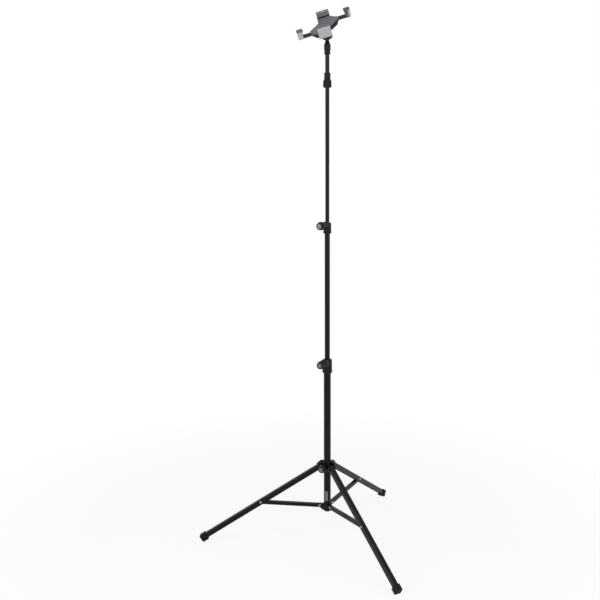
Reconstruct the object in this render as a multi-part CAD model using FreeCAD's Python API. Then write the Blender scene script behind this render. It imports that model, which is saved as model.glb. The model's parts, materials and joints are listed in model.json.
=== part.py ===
import FreeCAD, Part
import math
import os

from FreeCAD import Placement, Rotation, Vector

# Folding floor tripod with a three-section telescoping mast and a four-jaw
# phone clamp on a ball joint. Millimetres, Z up, floor at Z = 0. The mast axis
# stands beside the frame's origin so that the origin is the middle of the
# footprint. Leg 1 points along -X, legs 2 and 3 point to either side of +X.

# Stance of the tripod
leg_spread = 57.3            # angle of an open leg from the mast, degrees
leg_length = 446.0           # leg pivot to the end of the leg
leg_end_height = 11.9        # centre of the leg's end above the floor
pivot_radius = 24.0          # mast axis to the leg pivots and the brace pivots
brace_length = 188.0         # pivot to pivot
brace_rise = 3.5             # slope of an open brace, degrees
leg_directions = (180.0, -60.0, 60.0)
knob_direction = -120.0      # all three clamp knobs stand between legs 1 and 2

# Fits
slip = 0.3                   # gap between pieces that pass each other
running = 0.05               # radial clearance of a turning or sliding fit

# Legs and braces, both folded channels that are open underneath
leg_width = 15.0
leg_height = 16.0
leg_wall = 1.5
leg_bend = 2.4               # outside bend of the channel
brace_height = 11.0
brace_wall = 1.2
brace_bend = 1.8
brace_lug = 10.0             # length without a web at each end of a brace
rivet_radius = 2.5
rivet_head_radius = 4.0
rivet_crown_radius = 2.8
rivet_head_height = 1.4

# Rubber feet
foot_grip = 15.0             # length of leg held in the boot
foot_side = 2.0              # wall beside the leg
foot_crown = 1.6             # wall over the leg
foot_sole = 5.0              # wall under the leg, cut flat where it meets the floor
foot_toe = 5.0               # rubber beyond the end of the leg
foot_round = 1.6

# Mast tubes: outer radius and wall
main_radius = 11.0
main_wall = 1.2
middle_radius = 8.0
middle_wall = 1.0
top_radius = 6.0
top_wall = 0.9
rod_radius = 6.1
rod_wall = 1.5
main_length = 477.0
middle_exposed = 391.5       # tube that shows between the two mast clamps
top_exposed = 394.0          # tube that shows between clamp and coupling
rod_exposed = 51.0           # rod that shows above the coupling
tube_overlap = 80.0          # tube hidden in the section below it
bush_length = 22.0

# Leg collar, which slides on the main tube
collar_radius = 14.8
collar_edge = 1.2
collar_low = 13.0            # barrel below the leg pivots
collar_high = 17.4           # and above them
ear_thickness = 2.6
ear_radius = 10.2
ear_crown = 16.2             # top of the ears above the leg pivots
ear_foot = 11.0              # lower end of the ears at the barrel, below the pivots
ear_nose = 55.0              # where the ear's round nose ends, degrees
ear_top_inset = 4.0          # the ear's top ends this far inside the pivots

# Brace hub at the foot of the main tube
hub_radius = 14.5
hub_rise = 5.0               # top of the hub above the brace pivots
hub_drop = 21.5              # bottom of the hub below them
hub_seat_drop = 12.0         # end of the main tube below them
hub_edge = 1.0
hub_tip_share = 0.45         # the bottom is drawn in to this share of the hub's radius
hub_tip_rise = 0.8           # this far above its end
hub_cheek_share = 0.78       # and has widened to this share
hub_cheek_rise = 3.4         # here
hub_full_rise = 8.0          # full radius from this height on
tongue_radius = 6.0          # end of the tongue that carries a brace
tongue_fall = 1.0            # its top falls this much towards the mast
tongue_root_rise = 6.0       # its lower edge above the hub's bottom, at the mast
tongue_toe_rise = 7.0        # and at the corner in front of the brace
tongue_toe_inset = 8.0       # that corner from the brace pivot

# Mast clamps
clamp_wall = 4.0             # wall round the lower tube
clamp_flare = 0.6            # the clamp is this much wider at its skirt
clamp_edge = 1.4
clamp_skirt = 4.0
skirt_edge = 0.8
lower_socket = 26.0          # depth of the main tube in its clamp
lower_lip = 15.5             # height of that clamp above the end of the tube
lower_knob_drop = 9.5        # knob axis below the top of the clamp
upper_socket = 20.0
upper_lip = 12.0
upper_knob_drop = 6.0
clamp_boss_reach = 32.5      # end of the boss from the mast axis
collar_boss_reach = 25.0
boss_radius = 10.6
boss_end_radius = 9.8
grub_radius = 2.2
grub_height = 10.0           # locating screw above the clamp's lower edge
grub_slot_width = 0.8
grub_slot_depth = 0.7

# Clamp knobs
knob_length = 16.5
knob_radius = 12.8
knob_neck_radius = 9.4
knob_neck_length = 2.0
knob_flare = 2.6             # length over which the neck widens to the rim
knob_rim = 2.4
knob_face_radius = 10.6
knob_edge = 1.4
knob_web = 4.0               # solid plastic behind the badge
knob_gap = 0.5               # between the boss and the knob
badge_radius = 7.2
badge_thickness = 1.2
badge_dome = 0.6
badge_flat_radius = 1.6
stud_radius = 3.0
pad_thickness = 2.0

# Coupling between the top tube and the head rod
coupling_ring_radius = 11.65
coupling_ring_height = 22.0
coupling_neck_radius = 9.3
coupling_edge = 1.0
coupling_height = 43.0
ferrule_radius = 7.2
ferrule_height = 18.7
ferrule_inset = 2.0          # ferrule above the lower edge of the coupling
flange_height = 4.0
flange_radius = 7.0

# Top of the rod and the ball
cap_flange_radius = 9.3
cap_flange_height = 3.0
cap_waist_radius = 8.3
cap_waist_low = 6.5          # the waist lies between these two heights
cap_waist_high = 9.0
cap_barrel_radius = 9.6
cap_barrel_low = 13.0
cap_barrel_high = 28.0
cap_cone_base = 31.0
cap_cone_radius = 7.6
cap_tip_radius = 5.5
cap_height = 39.0
cap_seat = 20.0              # depth of rod in the cap
stud_shank_radius = 3.6      # ball stud inside the cap
neck_radius = 4.8            # ball stud between the cap and the ball
ball_radius = 10.5
ball_rise = 11.0             # ball centre above the top of the cap

# Attitude of the head in the photographed pose, degrees
head_roll = 16.5
head_pitch = 36.7

# Phone clamp, in its own frame: u across, v from near to far, n out of the plate
plate_height = 41.0          # plate's face above the ball centre
plate_thickness = 3.0
field_height = 0.6           # raised field on the plate's face
field_margin = 1.4
housing_floor = 3.0
outline_long = 45.0          # half length of the body across u
outline_short = 36.0         # half length along v
neck_inner = 14.5            # sides of the necks that carry the jaws
neck_outer = 22.0
neck_start = 15.0            # where the slanted side meets a neck
body_corner = 2.4            # rounding of the body's corners
arm_edge = 19.0              # outer side of the body where an arm leaves it
arm_corner = 12.0
arm_inner_v = 12.0           # the arm's strip between these two
arm_outer_v = 24.9
arm_thickness = 4.4
rack_back = 13.0             # back of a rack bar from the pinion's axis
rack_engaged = 3.0           # rack left past the pinion's axis with the jaws open
rack_behind = 6.0            # teeth behind the axis with the jaws closed
rack_root = 26.0             # where the rack runs out of the arm
gear_module = 1.0
gear_teeth = 16
pressure_angle = 20.0
backlash = 0.16
rack_addendum = 0.82
dedendum = 1.25
flank_steps = 3
axle_radius = 2.0
claw_outer = 81.0            # outside of a claw from the centre
claw_thickness = 15.0
claw_shell = 6.5
claw_cheek = 2.4             # side wall of the claw's shell
claw_corner = 1.8
claw_low = 8.4               # foot of a claw below the plate's face
claw_top = 17.6              # top of a claw above the plate's face
claw_width = 14.6
claw_middle = 18.8
hook_reach = 17.5
hook_overhang = 0.6
hook_thickness = 3.2
hook_round = 2.4
hook_inset = 1.5             # the hook is this much narrower than the claw at each side
hook_tip = 1.6               # tip of the hook below its underside, past the grip's face
jaw_top = 16.6               # top of a jaw above the plate's face
jaw_bevel = 4.4              # slope under a jaw's outer face
jaw_foot = 0.8               # flat that the slope leaves at the bottom
jaw_outer = 47.3
jaw_shell = 3.0
jaw_pad = 2.5
jaw_width = 37.0
jaw_offset = 5.0
jaw_round = 1.4
lip_reach = 10.0
lip_thickness = 2.7
lip_slot_length = 9.0
lip_slot_width = 3.2
open_travel = 10.0           # each jaw outwards from the photographed place
close_travel = 2.0           # and inwards
groove_pitch = 3.4           # grooves along the housing's slanted sides
groove_radius = 0.8
groove_margin = 4.0          # plain wall at each end of a slanted side
housing_inset = 0.8
end_slope_long = 15.0        # slope under the housing's arm ends
end_slope_high = 6.5
screw_radius = 1.5
screw_head_radius = 2.6
screw_head_height = 1.2
screw_long_u = 24.0          # screws beside the pinion
screw_long_v = 5.0
screw_neck_u = 17.0          # screws in the necks
screw_neck_v = 31.0

# Ball socket
cup_radius = 13.2
nut_radius = 15.5
nut_height = 15.0
nut_mouth = 3.0              # lower face of the nut below the ball centre
nut_flutes = 12
nut_flute_radius = 2.2
nut_flute_depth = 0.7
nut_chamfer = 1.4
liner_thickness = 1.2
liner_height = 5.5
ball_gap = 0.3

# Places that follow from the sizes
brace_width = leg_width - 2 * leg_wall - 2 * slip
tongue_thickness = brace_width - 2 * brace_wall - 2 * slip
spread = math.radians(leg_spread)
rise = math.radians(brace_rise)
strut_reach = brace_length * math.cos(rise) / math.sin(spread)
hub_separation = strut_reach * math.cos(spread) + brace_length * math.sin(rise)
pivot_height = leg_length * math.cos(spread) + leg_end_height
hub_height = pivot_height - hub_separation
foot_radius = pivot_radius + leg_length * math.sin(spread)
main_bottom = hub_height - hub_seat_drop
main_top = main_bottom + main_length
lower_clamp_base = main_top - lower_socket
lower_clamp_top = main_top + lower_lip
lower_knob_height = lower_clamp_top - lower_knob_drop
upper_clamp_base = lower_clamp_top + middle_exposed
middle_bottom = lower_clamp_top - tube_overlap
middle_top = upper_clamp_base + upper_socket
upper_clamp_top = middle_top + upper_lip
upper_knob_height = upper_clamp_top - upper_knob_drop
top_bottom = upper_clamp_top - tube_overlap
coupling_base = upper_clamp_top + top_exposed
ferrule_base = coupling_base + ferrule_inset
top_end = ferrule_base + ferrule_height
coupling_top = coupling_base + coupling_height
rod_bottom = top_end + slip
cap_base = coupling_top + rod_exposed
rod_top = cap_base + cap_seat
cap_top = cap_base + cap_height
ball_height = cap_top + ball_rise
gear_radius = gear_module * gear_teeth / 2
arm_top = -plate_thickness - slip
arm_bottom = arm_top - arm_thickness
slot_split = arm_bottom - slip
tongue_top = slot_split - slip
tongue_bottom = tongue_top - arm_thickness
housing_low = tongue_bottom - slip - housing_floor
rack_end = open_travel + rack_engaged
rack_start = -close_travel - rack_behind
rack_face = gear_radius + dedendum * gear_module
claw_near = -claw_middle - claw_width / 2


def tube(outer, wall, low, high):
    """A round tube standing on the mast axis."""
    solid = Part.makeCylinder(outer, high - low, Vector(0, 0, low))
    bore = Part.makeCylinder(outer - wall, high - low + 2, Vector(0, 0, low - 1))
    return solid.cut(bore)


def revolved(points):
    """Turn an outline of (radius, height) points about the Z axis."""
    corners = [Vector(r, 0, z) for r, z in points]
    wire = Part.makePolygon(corners + corners[:1])
    return Part.Face(wire).revolve(Vector(0, 0, 0), Vector(0, 0, 1), 360)


def plate_from(edges, half, offset=0.0):
    """Extrude a closed outline in the XZ plane to both sides of Y = offset."""
    face = Part.Face(Part.Wire(edges))
    face.translate(Vector(0, offset - half, 0))
    return face.extrude(Vector(0, 2 * half, 0))


def polyline(points):
    """Straight edges through (x, z) points, left open."""
    corners = [Vector(x, 0, z) for x, z in points]
    return [Part.LineSegment(a, b).toShape() for a, b in zip(corners, corners[1:])]


def arc(centre, radius, start, end):
    """An arc in the XZ plane about (x, z) between two angles in degrees."""
    def at(angle):
        turn = math.radians(angle)
        return Vector(centre[0] + radius * math.cos(turn), 0,
                      centre[1] + radius * math.sin(turn))
    return Part.Arc(at(start), at((start + end) / 2), at(end)).toShape()


def along_y(radius, half, x=0.0, z=0.0, middle=0.0):
    """A cylinder along Y, centred on Y = middle."""
    return Part.makeCylinder(radius, 2 * half, Vector(x, middle - half, z), Vector(0, 1, 0))


def box(u0, u1, v0, v1, n0, n1):
    """A box between three pairs of limits."""
    return Part.makeBox(u1 - u0, v1 - v0, n1 - n0, Vector(u0, v0, n0))


def turned(shape, angle):
    """A copy turned about the mast axis."""
    copy = shape.copy()
    copy.rotate(Vector(0, 0, 0), Vector(0, 0, 1), angle)
    return copy


def round_long_edges(shape, direction, radius, least):
    """Fillet the straight edges that run along a direction for at least a length."""
    chosen = []
    for edge in shape.Edges:
        if isinstance(edge.Curve, Part.Line) and edge.Length >= least:
            if abs(abs(edge.Curve.Direction.dot(direction)) - 1) < 1e-6:
                chosen.append(edge)
    return shape.makeFillet(radius, chosen)


def stadium(start, end, radius):
    """Side view of a bar whose ends are round about (start, 0) and (end, 0)."""
    return [arc((start, 0), radius, 90, 270), *polyline([(start, -radius), (end, -radius)]),
            arc((end, 0), radius, -90, 90), *polyline([(end, radius), (start, radius)])]


def channel(width, height, wall, bend, start, end):
    """A folded channel along +X: a web on top, a bend at each side and two flanges."""
    half = width / 2
    top = height / 2
    turn = half - bend
    fold = top - bend
    flange = half - wall
    edges = polyline([(half, -top), (half, fold)]) + [arc((turn, fold), bend, 0, 90)]
    edges += polyline([(turn, top), (-turn, top)]) + [arc((-turn, fold), bend, 90, 180)]
    edges += polyline([(-half, fold), (-half, -top), (-flange, -top), (-flange, fold)])
    edges += [arc((-turn, fold), bend - wall, 180, 90)]
    edges += polyline([(-turn, top - wall), (turn, top - wall)])
    edges += [arc((turn, fold), bend - wall, 90, 0)]
    edges += polyline([(flange, fold), (flange, -top), (half, -top)])
    body = plate_from(edges, (end - start) / 2, (start + end) / 2)
    body.rotate(Vector(0, 0, 0), Vector(0, 0, 1), -90)
    return body


def make_leg():
    """A folded channel along +X from its pivot, open underneath and round at its top."""
    half = leg_height / 2
    body = channel(leg_width, leg_height, leg_wall, leg_bend, -half, leg_length)
    body = body.common(plate_from(stadium(0, leg_length + half, half), leg_width))
    body = body.cut(along_y(rivet_radius + running, leg_width, 0, 0))
    return body.cut(along_y(rivet_radius, leg_width, strut_reach, 0))


def make_brace():
    """A channel along +X between two pivots, with a pair of lugs at each end."""
    half = brace_height / 2
    end = brace_length + half
    body = channel(brace_width, brace_height, brace_wall, brace_bend, -half, end)
    body = body.common(plate_from(stadium(0, brace_length, half), brace_width))
    inner = brace_width / 2 - brace_wall
    for start, stop in ((-half, brace_lug), (brace_length - brace_lug, end)):
        body = body.cut(box(start, stop, -inner, inner, 0, brace_height))
    for x in (0, brace_length):
        body = body.cut(along_y(rivet_radius + running, brace_width, x, 0))
    return body


def rivet_head(x, y, side):
    """Low conical rivet head that stands on a face and points to one side of Y."""
    return Part.makeCone(rivet_head_radius, rivet_crown_radius, rivet_head_height,
                         Vector(x, y, 0), Vector(0, side, 0))


def make_rivet(grip):
    """A pin along Y with a head past each side of what it holds."""
    heads = [rivet_head(0, side * grip, side) for side in (-1, 1)]
    return along_y(rivet_radius, grip).multiFuse(heads).removeSplitter()


def make_foot():
    """A rubber boot on the leg's end, in the leg's own frame."""
    half = leg_width / 2
    side = half + foot_side
    boot = box(leg_length - foot_grip, leg_length + foot_toe, -side, side,
               -leg_height / 2 - foot_sole, leg_height / 2 + foot_crown)
    boot = round_long_edges(boot, Vector(0, 1, 0), foot_round, leg_width)
    pocket = box(0, leg_length, -half, half, -leg_height / 2, leg_height / 2)
    return boot.cut(pocket)


def set_leg(shape):
    """Turn a leg's own frame to the open leg's slope and put it on its pivot."""
    shape.rotate(Vector(0, 0, 0), Vector(0, 1, 0), 90 - leg_spread)
    shape.translate(Vector(pivot_radius, 0, pivot_height))
    return shape


def set_brace(shape):
    """The same for a brace, whose own frame starts at the hub."""
    shape.rotate(Vector(0, 0, 0), Vector(0, 1, 0), -brace_rise)
    shape.translate(Vector(pivot_radius, 0, hub_height))
    return shape


def make_boss(inner, reach, z):
    """A tapered boss along +X that carries a clamp screw."""
    return Part.makeCone(boss_radius, boss_end_radius, reach - inner, Vector(inner, 0, z),
                         Vector(1, 0, 0))


def along_x(radius, start, end, z):
    """A cylinder along +X at a height."""
    return Part.makeCylinder(radius, end - start, Vector(start, 0, z), Vector(1, 0, 0))


def make_ear():
    """Side view of the leg collar's ear, from the barrel round the leg pivot."""
    a = pivot_radius
    turn = math.radians(ear_nose)
    nose = arc((a, 0), ear_radius, -90, ear_nose)
    return [nose] + polyline([(a + ear_radius * math.cos(turn), ear_radius * math.sin(turn)),
                              (a - ear_top_inset, ear_crown), (main_radius, ear_crown),
                              (main_radius, -ear_foot), (a, -ear_radius)])


def make_leg_collar():
    """Sliding collar: a barrel, three pairs of ears and the boss of the clamp knob."""
    rim = collar_radius - collar_edge
    barrel = revolved([(0, -collar_low), (rim, -collar_low),
                       (collar_radius, -collar_low + collar_edge),
                       (collar_radius, collar_high - collar_edge), (rim, collar_high),
                       (0, collar_high)])
    inner = leg_width / 2 + slip
    room = leg_height / 2 + slip
    ears = []
    rooms = []
    for direction in leg_directions:
        below = box(pivot_radius - room, pivot_radius, -inner, inner, -2 * collar_low, 0)
        rooms.append(turned(below, direction))
        rooms.append(turned(along_y(room, inner, pivot_radius, 0), direction))
        for side in (-1, 1):
            ear = plate_from(make_ear(), ear_thickness / 2, side * (inner + ear_thickness / 2))
            hole = along_y(rivet_radius, leg_width * 2, pivot_radius, 0)
            ears.append(turned(ear.cut(hole), direction))
    boss = turned(make_boss(0, collar_boss_reach, 0), knob_direction)
    body = barrel.multiFuse(ears + [boss]).cut(rooms)
    body = body.cut(Part.makeCylinder(main_radius + running, 4 * collar_high,
                                      Vector(0, 0, -2 * collar_high)))
    screw = turned(along_x(stud_radius + running, 0, 2 * collar_boss_reach, 0),
                   knob_direction)
    body = body.cut(screw).removeSplitter()
    body.translate(Vector(0, 0, pivot_height))
    return body


def make_pivot_rivets():
    """A headed stub in each ear. None passes through the leg between the ears."""
    inner = leg_width / 2 + slip
    outer = inner + ear_thickness
    stubs = []
    for direction in leg_directions:
        for side in (-1, 1):
            shank = along_y(rivet_radius, ear_thickness / 2, pivot_radius, 0,
                            side * (inner + outer) / 2)
            head = rivet_head(pivot_radius, side * outer, side)
            stubs.append(turned(shank.fuse(head).removeSplitter(), direction))
    group = Part.makeCompound(stubs)
    group.translate(Vector(0, 0, pivot_height))
    return group


def make_brace_hub():
    """Closed hub on the end of the main tube, with a tongue for each brace."""
    profile = [(0, -hub_drop), (hub_radius * hub_tip_share, -hub_drop + hub_tip_rise),
               (hub_radius * hub_cheek_share, -hub_drop + hub_cheek_rise),
               (hub_radius, -hub_drop + hub_full_rise), (hub_radius, hub_rise - hub_edge),
               (hub_radius - hub_edge, hub_rise), (0, hub_rise)]
    body = revolved(profile)
    a = pivot_radius
    tongue_edges = [arc((a, 0), tongue_radius, -90, 90)] + polyline(
        [(a, tongue_radius), (0, tongue_radius - tongue_fall),
         (0, -hub_drop + tongue_root_rise),
         (a - tongue_toe_inset, -hub_drop + tongue_toe_rise), (a, -tongue_radius)])
    tongues = []
    for direction in leg_directions:
        tongue = plate_from(tongue_edges, tongue_thickness / 2)
        tongue = tongue.cut(along_y(rivet_radius, leg_width, a, 0))
        tongues.append(turned(tongue, direction))
    body = body.multiFuse(tongues)
    seat = Part.makeCylinder(main_radius, hub_drop * 2, Vector(0, 0, -hub_seat_drop))
    body = body.cut(seat).removeSplitter()
    body.translate(Vector(0, 0, hub_height))
    return body


def make_hub_rivets():
    """One through pin with two heads for each brace."""
    pins = []
    for direction in leg_directions:
        pin = make_rivet(brace_width / 2 + running)
        pin.translate(Vector(pivot_radius, 0, 0))
        pins.append(turned(pin, direction))
    group = Part.makeCompound(pins)
    group.translate(Vector(0, 0, hub_height))
    return group


def make_mast_clamp(low_radius, high_radius, low, end, top, axis):
    """Clamp seated on the end of one tube and gripping the tube that slides in it."""
    outer = low_radius + clamp_wall
    skirt = outer + clamp_flare
    crown = outer - clamp_flare
    profile = [(0, low), (skirt - skirt_edge, low), (skirt, low + skirt_edge),
               (skirt, low + clamp_skirt), (outer, low + clamp_skirt + skirt_edge),
               (crown, top - clamp_edge), (crown - clamp_edge, top), (0, top)]
    boss = turned(make_boss(0, clamp_boss_reach, axis), knob_direction)
    body = revolved(profile).fuse(boss)
    body = body.cut(Part.makeCylinder(low_radius, end - low + 1, Vector(0, 0, low - 1)))
    above = top - end + 2 * boss_radius
    body = body.cut(Part.makeCylinder(high_radius + running, above, Vector(0, 0, end)))
    screw = along_x(stud_radius + running, 0, 2 * clamp_boss_reach, axis)
    grub = Part.makeCylinder(grub_radius, 2 * outer, Vector(0, 0, low + grub_height),
                             Vector(0, -1, 0))
    return body.cut(turned(screw, knob_direction)).cut(grub).removeSplitter()


def make_grub(low_radius, low):
    """Slotted locating screw that stops a clamp from turning on its tube."""
    outer = low_radius + clamp_wall
    screw = Part.makeCylinder(grub_radius, outer - low_radius, Vector(0, -low_radius, 0),
                              Vector(0, -1, 0))
    slot = box(-grub_radius, grub_radius, -outer - 1, -outer + grub_slot_depth,
               -grub_slot_width / 2, grub_slot_width / 2)
    seat_height = 2 * grub_radius + 1
    seat = Part.makeCylinder(low_radius, seat_height, Vector(0, 0, -seat_height / 2))
    screw = screw.cut(seat).cut(slot)
    screw.translate(Vector(0, 0, low + grub_height))
    return screw


def make_knob(reach, z):
    """Round knob on +X, widest near its back, hollowed for its metal badge and its stud."""
    start = reach + knob_gap
    front = start + knob_length
    rim = start + knob_neck_length + knob_flare
    knob = revolved([(0, start), (knob_neck_radius, start),
                     (knob_neck_radius, start + knob_neck_length), (knob_radius, rim),
                     (knob_radius, rim + knob_rim), (knob_face_radius, front - knob_edge),
                     (knob_face_radius - knob_edge, front), (0, front)])
    recess = Part.makeCylinder(badge_radius, badge_thickness + 1,
                               Vector(0, 0, front - badge_thickness))
    socket = Part.makeCylinder(stud_radius, knob_length - knob_web, Vector(0, 0, start))
    return set_radial(knob.cut(recess).cut(socket), z)


def set_radial(shape, z):
    """Lay a piece made along +Z down along the knob direction at a height."""
    shape.rotate(Vector(0, 0, 0), Vector(0, 1, 0), 90)
    shape.rotate(Vector(0, 0, 0), Vector(0, 0, 1), knob_direction)
    shape.translate(Vector(0, 0, z))
    return shape


def make_badge(reach, z):
    """Plain domed disc let into the knob's face."""
    front = reach + knob_gap + knob_length
    low = front - badge_thickness
    badge = revolved([(0, low), (badge_radius, low), (badge_radius, front),
                      (badge_flat_radius, front + badge_dome), (0, front + badge_dome)])
    return set_radial(badge, z)


def make_stud(reach, z, tube_radius):
    """Threaded stud from the knob to the pressure pad."""
    start = tube_radius + running + pad_thickness
    end = reach + knob_gap + knob_length - knob_web
    stud = Part.makeCylinder(stud_radius, end - start, Vector(0, 0, start))
    return set_radial(stud, z)


def make_pad(z, tube_radius):
    """Pressure pad between the stud and the tube, hollowed to the tube."""
    pad = along_x(stud_radius, 0, tube_radius + pad_thickness, z)
    hollow = Part.makeCylinder(tube_radius + running, 4 * stud_radius,
                               Vector(0, 0, z - 2 * stud_radius))
    return turned(pad.cut(hollow), knob_direction)


def make_bush(inner, outer, low):
    """Guide bush on the lower end of a sliding tube."""
    return tube(outer, outer - inner, low, low + bush_length)


def make_ferrule():
    """Threaded ferrule on the end of the top tube."""
    return tube(ferrule_radius, ferrule_radius - top_radius, ferrule_base, top_end)


def make_coupling():
    """Union nut that traps the rod's flange against the ferrule."""
    inner = ferrule_radius + running
    shoulder = rod_bottom + flange_height + slip
    edge = coupling_edge
    ring = coupling_base + coupling_ring_height
    profile = [(inner, coupling_base), (coupling_ring_radius - edge, coupling_base),
               (coupling_ring_radius, coupling_base + edge), (coupling_ring_radius, ring - edge),
               (coupling_ring_radius - edge, ring), (coupling_neck_radius, ring + edge),
               (coupling_neck_radius, coupling_top - edge),
               (coupling_neck_radius - edge, coupling_top),
               (rod_radius + running, coupling_top), (rod_radius + running, shoulder),
               (inner, shoulder)]
    return revolved(profile)


def make_head_rod():
    """Hollow rod with the flange that the coupling holds."""
    rod = Part.makeCylinder(rod_radius, rod_top - rod_bottom, Vector(0, 0, rod_bottom))
    flange = Part.makeCylinder(flange_radius, flange_height, Vector(0, 0, rod_bottom))
    bore = Part.makeCylinder(rod_radius - rod_wall, rod_top - rod_bottom + 2,
                             Vector(0, 0, rod_bottom - 1))
    return rod.fuse(flange).cut(bore).removeSplitter()


def make_rod_cap():
    """Moulded cap on the rod: a flange, a waist, a barrel and a cone."""
    body = revolved([(0, cap_base), (cap_flange_radius, cap_base),
                     (cap_flange_radius, cap_base + cap_flange_height),
                     (cap_waist_radius, cap_base + cap_waist_low),
                     (cap_waist_radius, cap_base + cap_waist_high),
                     (cap_barrel_radius, cap_base + cap_barrel_low),
                     (cap_barrel_radius, cap_base + cap_barrel_high),
                     (cap_cone_radius, cap_base + cap_cone_base), (cap_tip_radius, cap_top),
                     (0, cap_top)])
    body = body.cut(Part.makeCylinder(rod_radius, cap_seat + 1, Vector(0, 0, cap_base - 1)))
    return body.cut(Part.makeCylinder(stud_shank_radius, cap_top, Vector(0, 0, rod_top)))


def make_ball_stud():
    """Ball on a neck whose shank is set in the cap."""
    shank = revolved([(0, rod_top), (stud_shank_radius, rod_top), (stud_shank_radius, cap_top),
                      (neck_radius, cap_top), (neck_radius, ball_height), (0, ball_height)])
    ball = Part.makeSphere(ball_radius, Vector(0, 0, ball_height))
    return shank.fuse(ball).removeSplitter()


def body_outline():
    """Corners of the clamp's body, a broad Z that is the same after a half turn."""
    half = [(-neck_outer, -outline_short), (neck_inner, -outline_short),
            (neck_inner, -neck_start), (outline_long, arm_corner), (outline_long, arm_edge)]
    return half + [(-u, -v) for u, v in half]


def outline_prism(low, high, inset=0.0):
    """The body's outline between two heights, drawn in evenly by an inset."""
    corners = [Vector(u, v, low) for u, v in body_outline()]
    wire = Part.makePolygon(corners + corners[:1])
    if inset:
        wire = wire.makeOffset2D(-inset)
    prism = Part.Face(wire).extrude(Vector(0, 0, high - low))
    return round_long_edges(prism, Vector(0, 0, 1), body_corner, (high - low) / 2)


def half_turn(shape):
    """The same piece on the opposite side of the pinion."""
    return turned(shape, 180)


def make_front_plate():
    """Face of the clamp, with a shallow raised field for the phone's back."""
    slab = outline_prism(-plate_thickness, -field_height)
    return slab.fuse(outline_prism(-field_height, 0.0, field_margin)).removeSplitter()


def side_grooves():
    """Upright grooves along one slanted side of the housing."""
    start = Vector(neck_inner, -neck_start, housing_low)
    side = Vector(outline_long, arm_corner, housing_low) - start
    length = side.Length
    count = int((length - 2 * groove_margin) / groove_pitch) + 1
    first = (length - (count - 1) * groove_pitch) / 2
    inward = Vector(-side.y, side.x, 0).normalize() * housing_inset
    return [Part.makeCylinder(groove_radius, -plate_thickness - housing_low,
                              start + inward + side * ((first + index * groove_pitch) / length))
            for index in range(count)]


def make_housing():
    """Tray behind the plate, with slots for the four sliding bars and the ball's cup."""
    body = outline_prism(housing_low, -plate_thickness, housing_inset)
    floor = tongue_bottom - slip
    body = body.cut(Part.makeCylinder(gear_radius + gear_module + 2 * slip, -floor,
                                      Vector(0, 0, floor)))
    tooth_side = gear_radius - gear_module
    far = 2 * outline_long
    inner = rack_end + close_travel + slip
    arm_slot = box(-far, -rack_start + close_travel, -arm_outer_v - slip, -arm_inner_v + slip,
                   slot_split, -plate_thickness)
    rack_slot = box(-rack_root - open_travel - slip, inner, -rack_back - slip, -tooth_side,
                    slot_split, -plate_thickness)
    tongue_slot = box(tooth_side, rack_back + slip, -far, inner, floor, slot_split)
    slope = plate_from(polyline([(outline_long, housing_low + end_slope_high),
                                 (outline_long - end_slope_long, housing_low),
                                 (outline_long, housing_low),
                                 (outline_long, housing_low + end_slope_high)]), outline_short)
    for slot in (arm_slot, rack_slot, tongue_slot, slope):
        body = body.cut(slot).cut(half_turn(slot))
    grooves = side_grooves()
    body = body.cut(grooves + [half_turn(groove) for groove in grooves])
    for u, v in screw_places():
        body = body.cut(Part.makeCylinder(screw_radius, -housing_low, Vector(u, v, housing_low)))
    axle = Part.makeCylinder(axle_radius, -plate_thickness - floor, Vector(0, 0, floor))
    return body.multiFuse([axle, socket_cup()]).removeSplitter()


def socket_cup():
    """Cup under the housing that the ball turns in and the nut screws on to."""
    cup = Part.makeCylinder(cup_radius, plate_height + housing_low, Vector(0, 0, -plate_height))
    hollow = Part.makeSphere(ball_radius + ball_gap + liner_thickness,
                             Vector(0, 0, -plate_height))
    return cup.cut(hollow)


def screw_places():
    """Places of the housing screws, clear of every sliding bar."""
    half = [(screw_long_u, screw_long_v), (-screw_neck_u, -screw_neck_v)]
    return half + [(-u, -v) for u, v in half]


def make_housing_screws():
    """Screws that hold the housing to the plate."""
    screws = []
    for u, v in screw_places():
        shank = Part.makeCylinder(screw_radius, -plate_thickness - housing_low,
                                  Vector(u, v, housing_low))
        head = Part.makeCylinder(screw_head_radius, screw_head_height,
                                 Vector(u, v, housing_low - screw_head_height))
        screws.append(shank.fuse(head).removeSplitter())
    return Part.makeCompound(screws)


def flank_points(base, tip):
    """Radius and polar angle of one involute flank from the base circle to the tip."""
    points = []
    for step in range(flank_steps + 1):
        radius = base + (tip - base) * step / flank_steps
        angle = math.sqrt((radius / base) ** 2 - 1) - math.acos(base / radius)
        points.append((radius, angle))
    return points


def make_pinion():
    """Involute pinion, one tooth on +u, tall enough for both pairs of racks."""
    press = math.radians(pressure_angle)
    base = gear_radius * math.cos(press)
    at_pitch = math.tan(press) - press
    half_tooth = math.pi / (2 * gear_teeth) - backlash / (2 * gear_radius) + at_pitch
    root = gear_radius - dedendum * gear_module
    flank = [(root, 0.0)] + flank_points(base, gear_radius + gear_module)
    corners = []
    for tooth in range(gear_teeth):
        middle = 2 * math.pi * tooth / gear_teeth
        ring = [(radius, middle - half_tooth + angle) for radius, angle in flank]
        ring += [(radius, middle + half_tooth - angle) for radius, angle in reversed(flank)]
        corners += [Vector(radius * math.cos(angle), radius * math.sin(angle), tongue_bottom)
                    for radius, angle in ring]
    blank = Part.Face(Part.makePolygon(corners + corners[:1]))
    gear = blank.extrude(Vector(0, 0, arm_top - tongue_bottom))
    return gear.cut(Part.makeCylinder(axle_radius + running, arm_top - tongue_bottom,
                                      Vector(0, 0, tongue_bottom)))


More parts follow.
